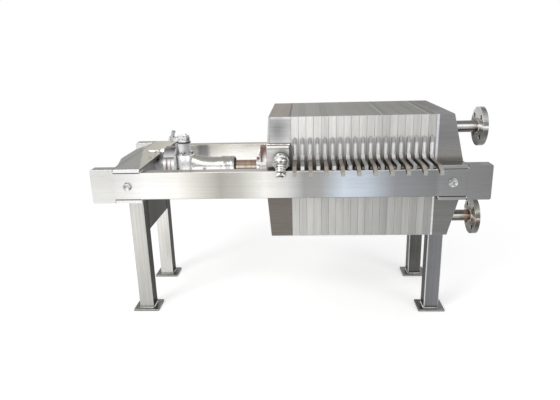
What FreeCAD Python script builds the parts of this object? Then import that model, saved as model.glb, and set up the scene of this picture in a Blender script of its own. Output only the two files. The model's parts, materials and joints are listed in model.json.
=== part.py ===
"""Plate-and-frame filter press with a hand-pumped hydraulic jack, in millimetres.

X runs along the side beams from the tail crossmember to the fixed head, Y across the press and Z up.
Lengths along X are measured from the tail end of the beams, and heights from the floor. export() then
moves each piece so that the origin lies on the floor under the middle of the press.
"""
import FreeCAD, Part
import math
import os

V = FreeCAD.Vector

# Filter plates and frames
PLATE_SIDE = 450.0
PLATE_THICKNESS = 26.7
PLATE_GAP = 0.3                 # left by the filter cloth between closed plates
PLATE_COUNT = 19
PLATE_CHAMFER = 0.7
FIELD_MARGIN = 38.0
FIELD_DEPTH = 2.5

# Side beams
BEAM_HEIGHT = 100.0
BEAM_THICKNESS = 44.0
BEAM_BOTTOM = 500.0             # floor to the underside of the beams
BEAM_SIDE_GAP = 20.0            # between the plates and the beams
BEAM_BEVEL = 1.5
PLATE_CENTRE_RISE = 7.0         # centre of the plates above the centre of the beams
END_BLOCK_LENGTH = 85.0         # blocks at both ends of the beam, as tall as the tie plates reach
END_BLOCK_BEVEL = 4.0

# Tie plates that clasp the beams above and below
TIE_THICKNESS = 13.0
TIE_LENGTH = 98.0

# Tail crossmember
TAIL_BULGE = 35.0               # of its back edge behind the ears
TAIL_BULGE_HALF_WIDTH = 92.0
TAIL_WALL = 10.0
THRUST_SETBACK = 18.0           # thrust plate behind the front edge of the tie plates
THRUST_PLATE_THICKNESS = 24.0
APRON_THICKNESS = 12.0

# Hydraulic jack, on the centre line of the press
JACK_RISE = 4.0                 # jack axis above the centre of the plates
SPIGOT_RADIUS = 36.0
SPIGOT_LENGTH = 19.0
BASE_DISC_RADIUS = 48.0
BASE_DISC_LENGTH = 21.0
NECK_RADIUS = 34.0
NECK_LENGTH = 6.0
RESERVOIR_RADIUS = 80.0
RESERVOIR_LENGTH = 44.0
POT_RADIUS = 37.0               # upright pot of the casting, under the pump
POT_OVERLAP = 8.0               # of the pot with the reservoir
POT_RISE = 48.0                 # of its top above the jack axis
POT_DEPTH = 45.0                # of its bottom below the jack axis
BARREL_SEAT = 26.0              # of the flat for the barrel's shoulder from the pot's axis
SHOULDER_RADIUS = 43.0
SHOULDER_LENGTH = 48.0
BARREL_RADIUS = 33.0
BARREL_REACH = 207.0            # of the barrel from the pot's axis
COLLAR_RADIUS = 36.0
COLLAR_LENGTH = 55.0
RAM_RADIUS = 19.0
RAM_CLEARANCE = 0.08
RAM_EXPOSED_LENGTH = 90.0
RAM_HIDDEN_LENGTH = 60.0        # of the ram, inside the barrel when the press is closed
PAD_LENGTH = 55.0
PAD_BOSS_RADIUS = 30.0
PAD_FLANGE_RADIUS = 79.0
PAD_FLANGE_THICKNESS = 37.0

# Hand pump on the jack's pot
PUMP_RADIUS = 25.0
PUMP_RISE = 100.0               # of the pump cylinder's top above the jack axis
PUMP_CAP_RADIUS = 27.0
PUMP_CAP_HEIGHT = 20.0
LEVER_OFFSET = 50.0             # of the lever's pin from the pump's axis, towards the tail
LEVER_LEAN = 20.0               # of the socket from upright, towards the pump
LEVER_PIN_RADIUS = 5.0
LUG_THICKNESS = 8.0
LUG_HALF_HEIGHT = 8.0
LUG_GAP = 18.0
SOCKET_SIDE_GAP = 1.0
SOCKET_WALL = 2.5
SOCKET_BORE = 5.0
SOCKET_LENGTH = 36.0
VALVE_STEM_RADIUS = 5.0
VALVE_BAR_SIZE = 6.0
VALVE_BAR_LENGTH = 19.0
VALVE_BAR_INSET = 30.0          # from the free end of the stem
VALVE_REACH = 67.0
VALVE_HEIGHT_OFFSET = 67.0      # above the jack axis, so that the bar clears the tail plate
VALVE_OFFSET = 33.0             # to the front of the jack axis

# Moving head and what carries it
FOLLOWER_MID_THICKNESS = 92.0
FOLLOWER_EDGE_THICKNESS = 80.0
BRACKET_LENGTH = 84.0
BRACKET_HEIGHT = 77.0
BRACKET_SETBACK = 3.0           # behind the face of the moving head
BRACKET_LIFT = 6.0              # above the beam
BRACKET_OVERHANG = 5.0          # over the beam's inner edge
ROLLER_RADIUS = 30.0
ROLLER_OFFSET = 36.0            # of its axis behind the face of the moving head
ROLLER_SIDE_GAP = 4.0
ROLLER_EDGE = 5.0               # of the roller inside the beam's outer edge
AXLE_RADIUS = 9.0
RUNNING_CLEARANCE = 0.06
REST_CLEARANCE = 0.3            # under whatever slides or rolls on the beams
KEEPER_WIDTH = 24.0
KEEPER_THICKNESS = 6.0
KEEPER_GAP = 5.0
KEEPER_DROP = 34.0              # of its grip below the roller's axis
GRIP_RADIUS = 17.0
GRIP_LENGTH = 20.0

# Handles of the plates and frames
HANDLE_WIDTH = 13.0
HANDLE_DEPTH = 11.0
HANDLE_RISE = 77.0              # above the top of the arm
HANDLE_BEVEL = 4.0
ARM_THICKNESS = 14.0
ARM_LIFT = 30.0                 # of the arm's top above the beam
FRAME_ARM_OVERHANG = 99.0       # beyond the beam
PLATE_ARM_OVERHANG = 62.0
TIP_DROP = 13.0
TIP_LENGTH = 36.0
SHOE_EDGE = 4.0                 # of the shoe inside the beam's edges

# Fixed head
HEAD_MID_THICKNESS = 101.0
HEAD_EDGE_THICKNESS = 61.0
HEAD_END_GAP = 0.7              # between the fixed head and the beams' end blocks

# Legs
LEG_SIZE = 56.0
LEG_WALL = 4.0
LEG_INSET = 35.0                # of the legs from the sides of the plates
TAIL_LEG_INSET = 11.0           # from the end blocks
HEAD_LEG_INSET = 2.0            # from the face of the fixed head
FOOT_LENGTH = 102.0
FOOT_WIDTH = 88.0
FOOT_THICKNESS = 8.0

# Slurry and filtrate connections
PIPE_RADIUS = 21.2
PORT_RADIUS = 18.0
PORT_INSET_Y = 65.0             # of the port from the side of the head
PORT_INSET_Z = 55.0             # of the port from its top or bottom
FLANGE_RADIUS = 70.0
FLANGE_THICKNESS = 18.0
FLANGE_REACH = 77.7             # of the flange's face beyond the head
FLANGE_HOLE_CIRCLE = 100.0
FLANGE_HOLE_RADIUS = 9.0
FLANGE_HOLE_COUNT = 4
CUT_MARGIN = 1.0                # of cutting tools past the faces they cut

# Places along X that follow from the sizes above
TIE_END = END_BLOCK_LENGTH + TIE_LENGTH
THRUST_FACE = TIE_END - THRUST_SETBACK
NECK_START = THRUST_FACE + SPIGOT_LENGTH + BASE_DISC_LENGTH
RESERVOIR_START = NECK_START + NECK_LENGTH
RESERVOIR_END = RESERVOIR_START + RESERVOIR_LENGTH
PUMP_AXIS = RESERVOIR_END - POT_OVERLAP + POT_RADIUS
BARREL_END = PUMP_AXIS + BARREL_REACH
LEVER_AXIS = PUMP_AXIS - LEVER_OFFSET
PAD_START = BARREL_END + RAM_EXPOSED_LENGTH
FOLLOWER_BACK = PAD_START + PAD_LENGTH
FOLLOWER_FACE = FOLLOWER_BACK + FOLLOWER_MID_THICKNESS
ROLLER_AXIS = FOLLOWER_FACE - ROLLER_OFFSET
PLATE_PITCH = PLATE_THICKNESS + PLATE_GAP
HEAD_FACE = FOLLOWER_FACE + PLATE_GAP + PLATE_COUNT * PLATE_PITCH
HEAD_END = HEAD_FACE + HEAD_MID_THICKNESS
BEAM_LENGTH = HEAD_END + HEAD_END_GAP + END_BLOCK_LENGTH
MIDDLE = BEAM_LENGTH / 2
FLANGE_FACE = HEAD_END + FLANGE_REACH
TAIL_LEG_START = END_BLOCK_LENGTH + TAIL_LEG_INSET
HEAD_LEG_START = HEAD_FACE + HEAD_LEG_INSET

# Places across the press, from its middle
PLATE_HALF = PLATE_SIDE / 2
BEAM_INNER = PLATE_HALF + BEAM_SIDE_GAP
BEAM_OUTER = BEAM_INNER + BEAM_THICKNESS
BRACKET_OUTER = BEAM_INNER + BRACKET_OVERHANG
ROLLER_START = BRACKET_OUTER + ROLLER_SIDE_GAP
ROLLER_END = BEAM_OUTER - ROLLER_EDGE
KEEPER_START = BEAM_OUTER + KEEPER_GAP
KEEPER_END = KEEPER_START + KEEPER_THICKNESS
LEG_OUTER = PLATE_HALF - LEG_INSET
LEG_INNER = LEG_OUTER - LEG_SIZE
PORT_Y = PORT_INSET_Y - PLATE_HALF

# Heights
BEAM_TOP = BEAM_BOTTOM + BEAM_HEIGHT
TIE_TOP = BEAM_TOP + TIE_THICKNESS
TIE_BOTTOM = BEAM_BOTTOM - TIE_THICKNESS
PLATE_CENTRE = BEAM_BOTTOM + BEAM_HEIGHT / 2 + PLATE_CENTRE_RISE
PLATE_BOTTOM = PLATE_CENTRE - PLATE_HALF
PLATE_TOP = PLATE_CENTRE + PLATE_HALF
JACK_AXIS = PLATE_CENTRE + JACK_RISE
POT_TOP = JACK_AXIS + POT_RISE
PUMP_TOP = JACK_AXIS + PUMP_RISE
LEVER_HEIGHT = PUMP_TOP + PUMP_CAP_HEIGHT / 2
ROLLER_HEIGHT = BEAM_TOP + REST_CLEARANCE + ROLLER_RADIUS
ARM_TOP = BEAM_TOP + ARM_LIFT
PORT_HEIGHTS = {"upper": PLATE_TOP - PORT_INSET_Z, "lower": PLATE_BOTTOM + PORT_INSET_Z}


def box(x0, x1, y0, y1, z0, z1):
    """A block between two opposite corners, whichever way round they are given."""
    low = V(min(x0, x1), min(y0, y1), min(z0, z1))
    return Part.makeBox(abs(x1 - x0), abs(y1 - y0), abs(z1 - z0), low)


def face(points):
    return Part.Face(Part.makePolygon(points + [points[0]]))


def side_profile(points, half_width):
    """An outline in X and Z, extruded across the middle of the press."""
    return face([V(x, -half_width, z) for x, z in points]).extrude(V(0, 2 * half_width, 0))


def plan_profile(points, bottom, top):
    """An outline in X and Y, extruded upwards."""
    return face([V(x, y, bottom) for x, y in points]).extrude(V(0, 0, top - bottom))


def bar_between(radius, start, end):
    """A cylinder between two points."""
    along = end - start
    return Part.makeCylinder(radius, along.Length, start, along)


def turned(points):
    """A turned piece on the jack axis, from its outline as (x, radius)."""
    outline = face([V(x, 0, JACK_AXIS + radius) for x, radius in points])
    return outline.revolve(V(0, 0, JACK_AXIS), V(1, 0, 0), 360)


def mirrored(shape):
    """The same piece on the rear side."""
    return shape.mirror(V(0, 0, 0), V(0, 1, 0))


def symmetric(points):
    """Points of one half of a plan outline, followed by their mirror images."""
    return points + [(x, -y) for x, y in reversed(points)]


def same(first, second):
    """True where two places are equal but for rounding."""
    return abs(first - second) < 0.001


def edges_along(shape, axis):
    """Straight edges that run along X, Y or Z."""
    others = [name for name in "XYZ" if name != axis]
    return [
        edge
        for edge in shape.Edges
        if all(same(getattr(edge.BoundBox, name + "Length"), 0) for name in others)
    ]


def side_beam():
    """The bar between the end blocks, on which the moving head and the plates slide."""
    bar_end = BEAM_LENGTH - END_BLOCK_LENGTH
    bar = box(END_BLOCK_LENGTH, bar_end, -BEAM_OUTER, -BEAM_INNER, BEAM_BOTTOM, BEAM_TOP)
    return bar.makeChamfer(BEAM_BEVEL, edges_along(bar, "X"))


def beam_end_block(outer, inner):
    """A taller block at one end of the beam, which holds the tie plates, with two bevelled corners."""
    block = box(outer, inner, -BEAM_OUTER, -BEAM_INNER, TIE_BOTTOM, TIE_TOP)
    corners = [edge for edge in edges_along(block, "Y") if same(edge.BoundBox.XMin, outer)]
    return block.makeChamfer(END_BLOCK_BEVEL, corners)


def beam_end_blocks():
    tail = beam_end_block(0, END_BLOCK_LENGTH)
    head = beam_end_block(BEAM_LENGTH, BEAM_LENGTH - END_BLOCK_LENGTH)
    return Part.makeCompound([tail, head])


def tail_tie_plate(bottom):
    """A plate across the tail with ears that reach over both beams, deeper in the middle."""
    back = END_BLOCK_LENGTH - TAIL_BULGE
    half = [
        (TIE_END, BEAM_OUTER),
        (END_BLOCK_LENGTH, BEAM_OUTER),
        (END_BLOCK_LENGTH, BEAM_INNER),
        (back, TAIL_BULGE_HALF_WIDTH),
    ]
    return plan_profile(symmetric(half), bottom, bottom + TIE_THICKNESS)


def tail_housing():
    """The back walls between the two tie plates, following their bulge."""
    thrust_back = THRUST_FACE - THRUST_PLATE_THICKNESS
    side = END_BLOCK_LENGTH + TAIL_WALL
    back = side - TAIL_BULGE
    inner_width = BEAM_INNER - TAIL_WALL
    outer = [(thrust_back, BEAM_INNER), (side, BEAM_INNER), (back, TAIL_BULGE_HALF_WIDTH)]
    inner = [
        (thrust_back, inner_width),
        (side + TAIL_WALL, inner_width),
        (back + TAIL_WALL, TAIL_BULGE_HALF_WIDTH),
    ]
    shell = plan_profile(symmetric(outer), BEAM_BOTTOM, BEAM_TOP)
    return shell.cut(plan_profile(symmetric(inner), BEAM_BOTTOM, BEAM_TOP))


def thrust_plate():
    back = THRUST_FACE - THRUST_PLATE_THICKNESS
    return box(back, THRUST_FACE, -BEAM_INNER, BEAM_INNER, BEAM_BOTTOM, BEAM_TOP)


def tail_apron():
    """The plate between the tail legs, flush with their faces towards the jack."""
    front = TAIL_LEG_START + LEG_SIZE
    return box(front - APRON_THICKNESS, front, -LEG_INNER, LEG_INNER, PLATE_BOTTOM, TIE_BOTTOM)


def head_outline():
    """Side view of the fixed head: flat towards the plates, deepest at the height of the beams."""
    edge = HEAD_FACE + HEAD_EDGE_THICKNESS
    return [
        (HEAD_FACE, PLATE_BOTTOM),
        (edge, PLATE_BOTTOM),
        (HEAD_END, TIE_BOTTOM),
        (HEAD_END, TIE_TOP),
        (edge, PLATE_TOP),
        (HEAD_FACE, PLATE_TOP),
    ]


def port_bore(height, start, end):
    return bar_between(PORT_RADIUS, V(start, PORT_Y, height), V(end, PORT_Y, height))


def fixed_head():
    head = side_profile(head_outline(), PLATE_HALF)
    for height in PORT_HEIGHTS.values():
        head = head.cut(port_bore(height, HEAD_FACE - CUT_MARGIN, HEAD_END + CUT_MARGIN))
    return head


def head_tie_plates():
    """Two plates on the front side of the fixed head that clasp the beam, above and below it."""
    end = BEAM_LENGTH - END_BLOCK_LENGTH
    start = end - TIE_LENGTH
    top = box(start, end, -BEAM_OUTER, -PLATE_HALF, BEAM_TOP, TIE_TOP)
    bottom = box(start, end, -BEAM_OUTER, -PLATE_HALF, TIE_BOTTOM, BEAM_BOTTOM)
    return Part.makeCompound([top, bottom])


def moving_head():
    """Flat towards the plates and a little deeper at mid height."""
    edge = FOLLOWER_FACE - FOLLOWER_EDGE_THICKNESS
    outline = [
        (FOLLOWER_FACE, PLATE_BOTTOM),
        (edge, PLATE_BOTTOM),
        (FOLLOWER_BACK, TIE_BOTTOM),
        (FOLLOWER_BACK, TIE_TOP),
        (edge, PLATE_TOP),
        (FOLLOWER_FACE, PLATE_TOP),
    ]
    return side_profile(outline, PLATE_HALF)


def carrier_bracket():
    """The block on the side of the moving head, with the axle that carries the roller."""
    end = FOLLOWER_FACE - BRACKET_SETBACK
    low = BEAM_TOP + BRACKET_LIFT
    block = box(end - BRACKET_LENGTH, end, -BRACKET_OUTER, -PLATE_HALF, low, low + BRACKET_HEIGHT)
    axle_start = V(ROLLER_AXIS, -BRACKET_OUTER, ROLLER_HEIGHT)
    return block.fuse(bar_between(AXLE_RADIUS, axle_start, V(ROLLER_AXIS, -KEEPER_START, ROLLER_HEIGHT)))


def carrier_roller():
    start = V(ROLLER_AXIS, -ROLLER_START, ROLLER_HEIGHT)
    end = V(ROLLER_AXIS, -ROLLER_END, ROLLER_HEIGHT)
    margin = V(0, CUT_MARGIN, 0)
    bore = bar_between(AXLE_RADIUS + RUNNING_CLEARANCE, start + margin, end - margin)
    return bar_between(ROLLER_RADIUS, start, end).cut(bore)


def carrier_keeper():
    """A strap on the end of the axle that hangs in front of the beam, with a round grip on it."""
    half = KEEPER_WIDTH / 2
    bevel = half / 2
    top = ROLLER_HEIGHT + half
    bottom = ROLLER_HEIGHT - KEEPER_DROP - half
    outline = [
        (ROLLER_AXIS - half, bottom + bevel),
        (ROLLER_AXIS - bevel, bottom),
        (ROLLER_AXIS + bevel, bottom),
        (ROLLER_AXIS + half, bottom + bevel),
        (ROLLER_AXIS + half, top - bevel),
        (ROLLER_AXIS + bevel, top),
        (ROLLER_AXIS - bevel, top),
        (ROLLER_AXIS - half, top - bevel),
    ]
    strap = face([V(x, -KEEPER_START, z) for x, z in outline]).extrude(V(0, -KEEPER_THICKNESS, 0))
    grip_start = V(ROLLER_AXIS, -KEEPER_END, ROLLER_HEIGHT - KEEPER_DROP)
    return strap.fuse(bar_between(GRIP_RADIUS, grip_start, grip_start - V(0, GRIP_LENGTH, 0)))


def is_frame(index):
    """Frames and plates take turns, and the row starts and ends with a frame."""
    return index % 2 == 1


def unit_name(index):
    return "filter_%s_%02d" % ("frame" if is_frame(index) else "plate", index)


def handle_outline(index):
    """Outline of one handle in Y and Z: an upright bar, a shoe on the beam and an arm beyond it."""
    arm_bottom = ARM_TOP - ARM_THICKNESS
    shoe_bottom = BEAM_TOP + REST_CLEARANCE
    shoe_start = BEAM_INNER + SHOE_EDGE
    shoe_end = BEAM_OUTER - SHOE_EDGE
    upright = PLATE_HALF + HANDLE_DEPTH
    tip = BEAM_OUTER + (FRAME_ARM_OVERHANG if is_frame(index) else PLATE_ARM_OVERHANG)
    drop = TIP_DROP if is_frame(index) else 0
    return [
        (PLATE_HALF, ARM_TOP + HANDLE_RISE),
        (upright, ARM_TOP + HANDLE_RISE),
        (upright, ARM_TOP + HANDLE_DEPTH),
        (upright + HANDLE_DEPTH, ARM_TOP),
        (tip - TIP_LENGTH, ARM_TOP),
        (tip, ARM_TOP - drop),
        (tip, arm_bottom - drop),
        (tip - TIP_LENGTH, arm_bottom),
        (shoe_end + ARM_THICKNESS, arm_bottom),
        (shoe_end, shoe_bottom),
        (shoe_start, shoe_bottom),
        (PLATE_HALF, shoe_bottom + HANDLE_DEPTH),
    ]


def plate_handle(index, x):
    """The handle on the front side of a plate or frame, with a bevelled upright."""
    half = HANDLE_WIDTH / 2
    top = ARM_TOP + HANDLE_RISE
    outline = face([V(x - half, -y, z) for y, z in handle_outline(index)])
    bar = outline.extrude(V(HANDLE_WIDTH, 0, 0))
    head = [edge for edge in edges_along(bar, "Y") if same(edge.BoundBox.ZMax, top)]
    front = [edge for edge in edges_along(bar, "Z") if same(edge.BoundBox.ZMax, top)]
    outer = [edge for edge in front if same(edge.BoundBox.YMin, -PLATE_HALF - HANDLE_DEPTH)]
    return bar.makeChamfer(HANDLE_BEVEL, head + outer)


def filter_unit(index):
    """A plate or a frame with a handle on each side; frames have the longer arms."""
    start = FOLLOWER_FACE + PLATE_GAP + (index - 1) * PLATE_PITCH
    end = start + PLATE_THICKNESS
    slab = box(start, end, -PLATE_HALF, PLATE_HALF, PLATE_BOTTOM, PLATE_TOP)
    slab = slab.makeChamfer(PLATE_CHAMFER, edges_along(slab, "Y") + edges_along(slab, "Z"))
    inner = PLATE_HALF - FIELD_MARGIN
    low = PLATE_BOTTOM + FIELD_MARGIN
    high = PLATE_TOP - FIELD_MARGIN
    slab = slab.cut(box(start - CUT_MARGIN, start + FIELD_DEPTH, -inner, inner, low, high))
    slab = slab.cut(box(end - FIELD_DEPTH, end + CUT_MARGIN, -inner, inner, low, high))
    handle = plate_handle(index, (start + end) / 2)
    return slab.fuse(handle).fuse(mirrored(handle))


def leg(start, top):
    """A square tube on the front side, from its foot plate up to what it carries."""
    tube = box(start, start + LEG_SIZE, -LEG_OUTER, -LEG_INNER, FOOT_THICKNESS, top)
    wall = LEG_WALL
    hollow_y = (-LEG_OUTER + wall, -LEG_INNER - wall)
    return tube.cut(box(start + wall, start + LEG_SIZE - wall, *hollow_y, FOOT_THICKNESS, top))


def foot(start):
    x = start + LEG_SIZE / 2
    y = -(LEG_OUTER + LEG_INNER) / 2
    half_x = FOOT_LENGTH / 2
    half_y = FOOT_WIDTH / 2
    return box(x - half_x, x + half_x, y - half_y, y + half_y, 0, FOOT_THICKNESS)


def jack_pot():
    """The upright pot between the reservoir and the barrel, with a flat for the barrel's shoulder."""
    bottom = JACK_AXIS - POT_DEPTH
    pot = bar_between(POT_RADIUS, V(PUMP_AXIS, 0, bottom), V(PUMP_AXIS, 0, POT_TOP))
    side = PUMP_AXIS + POT_RADIUS
    return pot.cut(box(PUMP_AXIS + BARREL_SEAT, side, -POT_RADIUS, POT_RADIUS, bottom, POT_TOP))


def pump_cylinder():
    """The upright pump barrel on top of the pot."""
    return bar_between(PUMP_RADIUS, V(PUMP_AXIS, 0, POT_TOP), V(PUMP_AXIS, 0, PUMP_TOP))


def jack_body():
    """The casting on the thrust plate: spigot, base disc, neck, oil reservoir, pot and pump cylinder."""
    disc_start = THRUST_FACE + SPIGOT_LENGTH
    drum = turned([
        (THRUST_FACE, 0),
        (THRUST_FACE, SPIGOT_RADIUS),
        (disc_start, SPIGOT_RADIUS),
        (disc_start, BASE_DISC_RADIUS),
        (NECK_START, BASE_DISC_RADIUS),
        (NECK_START, NECK_RADIUS),
        (RESERVOIR_START, NECK_RADIUS),
        (RESERVOIR_START, RESERVOIR_RADIUS),
        (RESERVOIR_END, RESERVOIR_RADIUS),
        (RESERVOIR_END, 0),
    ])
    return drum.fuse([jack_pot(), pump_cylinder()])


def jack_barrel():
    """The barrel between its shoulder, on the flat of the pot, and its collar, bored for the ram."""
    seat = PUMP_AXIS + BARREL_SEAT
    collar = BARREL_END - COLLAR_LENGTH
    barrel = turned([
        (seat, 0),
        (seat, SHOULDER_RADIUS),
        (seat + SHOULDER_LENGTH, SHOULDER_RADIUS),
        (seat + SHOULDER_LENGTH, BARREL_RADIUS),
        (collar, BARREL_RADIUS),
        (collar, COLLAR_RADIUS),
        (BARREL_END, COLLAR_RADIUS),
        (BARREL_END, 0),
    ])
    bore_start = V(BARREL_END - RAM_HIDDEN_LENGTH - RAM_EXPOSED_LENGTH, 0, JACK_AXIS)
    bore_end = V(BARREL_END + CUT_MARGIN, 0, JACK_AXIS)
    return barrel.cut(bar_between(RAM_RADIUS + RAM_CLEARANCE, bore_start, bore_end))


def jack_ram():
    start = V(BARREL_END - RAM_HIDDEN_LENGTH, 0, JACK_AXIS)
    return bar_between(RAM_RADIUS, start, V(PAD_START, 0, JACK_AXIS))


def ram_pad():
    """The turned socket that the ram pushes, on the back of the moving head."""
    flange = FOLLOWER_BACK - PAD_FLANGE_THICKNESS
    return turned([
        (PAD_START, 0),
        (PAD_START, PAD_BOSS_RADIUS),
        (flange, PAD_BOSS_RADIUS),
        (flange, PAD_FLANGE_RADIUS),
        (FOLLOWER_BACK, PAD_FLANGE_RADIUS),
        (FOLLOWER_BACK, 0),
    ])


def pump_cap():
    """A cap on the pump cylinder, with two lugs and the pin that carries the lever socket."""
    cap = bar_between(PUMP_CAP_RADIUS, V(PUMP_AXIS, 0, PUMP_TOP), V(PUMP_AXIS, 0, PUMP_TOP + PUMP_CAP_HEIGHT))
    lug = pump_lug()
    outer = V(0, LUG_GAP / 2 + LUG_THICKNESS, 0)
    centre = V(LEVER_AXIS, 0, LEVER_HEIGHT)
    pin = bar_between(LEVER_PIN_RADIUS, centre - outer, centre + outer)
    return cap.fuse([lug, mirrored(lug), pin]).removeSplitter()


def pump_lug():
    """The front one of the two lugs that hold the lever's pin, with bevelled corners at its free end."""
    inner = LUG_GAP / 2
    end = LEVER_AXIS - LUG_HALF_HEIGHT
    low = LEVER_HEIGHT - LUG_HALF_HEIGHT
    high = LEVER_HEIGHT + LUG_HALF_HEIGHT
    lug = box(end, PUMP_AXIS, -inner - LUG_THICKNESS, -inner, low, high)
    corners = [edge for edge in edges_along(lug, "Y") if same(edge.BoundBox.XMin, end)]
    return lug.makeChamfer(LUG_HALF_HEIGHT / 2, corners)


def lever_socket():
    """The socket for the pump lever, on its pin between the two lugs, leaning towards the pump."""
    half = LUG_GAP / 2 - SOCKET_SIDE_GAP
    hub_half = LEVER_PIN_RADIUS + 2 * SOCKET_WALL
    centre = V(LEVER_AXIS, 0, LEVER_HEIGHT)
    hub = box(-hub_half, hub_half, -half, half, -hub_half, hub_half)
    socket = hub.fuse(bar_between(SOCKET_BORE + SOCKET_WALL, V(0, 0, 0), V(0, 0, SOCKET_LENGTH)))
    bore_start = V(0, 0, hub_half + CUT_MARGIN)
    socket = socket.cut(bar_between(SOCKET_BORE, bore_start, V(0, 0, SOCKET_LENGTH + CUT_MARGIN)))
    pin_end = V(0, half + CUT_MARGIN, 0)
    socket = socket.cut(bar_between(LEVER_PIN_RADIUS + RUNNING_CLEARANCE, -pin_end, pin_end))
    socket.rotate(V(0, 0, 0), V(0, 1, 0), LEVER_LEAN)
    socket.translate(centre)
    return socket


def release_valve():
    """The T-handled valve screw on the tail side of the jack's reservoir."""
    height = JACK_AXIS + VALVE_HEIGHT_OFFSET
    tip = RESERVOIR_START - VALVE_REACH
    stem = bar_between(
        VALVE_STEM_RADIUS,
        V(tip, -VALVE_OFFSET, height),
        V(RESERVOIR_START, -VALVE_OFFSET, height),
    )
    middle = tip + VALVE_BAR_INSET
    half = VALVE_BAR_SIZE / 2
    reach = VALVE_BAR_LENGTH / 2
    bar_y = (-VALVE_OFFSET - reach, -VALVE_OFFSET + reach)
    return stem.fuse(box(middle - half, middle + half, *bar_y, height - half, height + half))


def flanged_pipe(height):
    """A pipe on the fixed head's sloping back with the flange welded on its end, bored through."""
    start = V(HEAD_FACE, PORT_Y, height)
    pipe = bar_between(PIPE_RADIUS, start, V(FLANGE_FACE - FLANGE_THICKNESS, PORT_Y, height))
    pipe = pipe.cut(side_profile(head_outline(), PLATE_HALF))
    whole = pipe.fuse(pipe_flange(height))
    return whole.cut(port_bore(height, HEAD_FACE, FLANGE_FACE + CUT_MARGIN)).removeSplitter()


def pipe_flange(height):
    """A flange with its bolt holes on both sides of the vertical."""
    centre = V(FLANGE_FACE, PORT_Y, height)
    back = centre - V(FLANGE_THICKNESS, 0, 0)
    margin = V(CUT_MARGIN, 0, 0)
    disc = bar_between(FLANGE_RADIUS, back, centre)
    for hole in range(FLANGE_HOLE_COUNT):
        angle = math.radians(360 / FLANGE_HOLE_COUNT * (hole + 0.5))
        offset = V(0, math.cos(angle), math.sin(angle)) * (FLANGE_HOLE_CIRCLE / 2)
        drill = bar_between(FLANGE_HOLE_RADIUS, back + offset - margin, centre + offset + margin)
        disc = disc.cut(drill)
    return disc


def export(name, shape):
    """Move a piece from the tail-end datum to the middle of the press and write it."""
    moved = shape.copy()
    moved.translate(V(-MIDDLE, 0, 0))
    moved.exportStep("parts/" + name + ".step")


def export_both(name, shape):
    export("front_" + name, shape)
    export("rear_" + name, mirrored(shape))


def export_pair(name, shape):
    """Mirrored pieces that don't touch, kept in one file."""
    export(name, Part.makeCompound([shape, mirrored(shape)]))


def main():
    os.makedirs("parts", exist_ok=True)
    export_both("side_beam", side_beam())
    export_both("carrier_roller", carrier_roller())
    export_pair("beam_end_blocks", beam_end_blocks())
    export_pair("head_tie_plates", head_tie_plates())
    export_pair("carrier_brackets", carrier_bracket())
    export_pair("carrier_keepers", carrier_keeper())
    export("tail_top_plate", tail_tie_plate(BEAM_TOP))
    export("tail_bottom_plate", tail_tie_plate(TIE_BOTTOM))
    export("tail_housing", tail_housing())
    export("tail_thrust_plate", thrust_plate())
    export("tail_apron", tail_apron())
    export("fixed_head", fixed_head())
    export("moving_head", moving_head())
    for index in range(1, PLATE_COUNT + 1):
        export(unit_name(index), filter_unit(index))
    export_pair("tail_legs", leg(TAIL_LEG_START, TIE_BOTTOM))
    export_pair("head_legs", leg(HEAD_LEG_START, PLATE_BOTTOM))
    export_pair("foot_plates", Part.makeCompound([foot(TAIL_LEG_START), foot(HEAD_LEG_START)]))
    export("jack_body", jack_body())
    export("jack_barrel", jack_barrel())
    export("jack_ram", jack_ram())
    export("ram_pad", ram_pad())
    export("pump_cap", pump_cap())
    export("pump_lever_socket", lever_socket())
    export("jack_release_valve", release_valve())
    for name, height in PORT_HEIGHTS.items():
        export(name + "_pipe", flanged_pipe(height))


main()
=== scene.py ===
"""Finishes, fasteners and studio of the plate filter press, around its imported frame. Lengths are in metres."""
import json
import math
import random

import bmesh
import bpy
from mathutils import Matrix, Vector

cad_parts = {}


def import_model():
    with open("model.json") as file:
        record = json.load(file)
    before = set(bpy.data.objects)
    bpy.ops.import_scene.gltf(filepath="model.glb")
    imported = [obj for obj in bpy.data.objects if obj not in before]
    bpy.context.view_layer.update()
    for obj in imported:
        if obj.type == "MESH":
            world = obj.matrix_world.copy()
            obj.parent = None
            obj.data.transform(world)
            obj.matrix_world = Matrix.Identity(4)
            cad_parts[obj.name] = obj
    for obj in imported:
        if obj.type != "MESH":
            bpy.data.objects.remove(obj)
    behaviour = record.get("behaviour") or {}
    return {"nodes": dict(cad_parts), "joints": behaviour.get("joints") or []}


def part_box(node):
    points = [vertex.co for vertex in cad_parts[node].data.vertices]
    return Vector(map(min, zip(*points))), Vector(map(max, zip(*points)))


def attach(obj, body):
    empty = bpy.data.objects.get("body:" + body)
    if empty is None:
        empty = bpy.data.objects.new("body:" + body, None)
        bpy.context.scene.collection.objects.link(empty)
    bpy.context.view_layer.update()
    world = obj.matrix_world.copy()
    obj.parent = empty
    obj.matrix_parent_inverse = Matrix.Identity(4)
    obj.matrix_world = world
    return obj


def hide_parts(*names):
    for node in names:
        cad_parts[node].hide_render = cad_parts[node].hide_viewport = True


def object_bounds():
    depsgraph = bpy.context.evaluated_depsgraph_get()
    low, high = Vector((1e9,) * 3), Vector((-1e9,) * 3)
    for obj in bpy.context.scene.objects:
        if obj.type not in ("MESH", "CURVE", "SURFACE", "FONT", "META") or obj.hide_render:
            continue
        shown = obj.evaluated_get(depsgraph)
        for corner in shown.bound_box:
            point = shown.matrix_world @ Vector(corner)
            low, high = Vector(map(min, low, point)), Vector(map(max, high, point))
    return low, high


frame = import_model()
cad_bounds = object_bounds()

SIDES = {"front": -1, "rear": 1}
UNITS = sorted(name for name in frame["nodes"] if name.startswith("filter_"))
RIM_SEGMENTS = 64
X_AXIS, Z_AXIS = Vector((1, 0, 0)), Vector((0, 0, 1))


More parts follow.
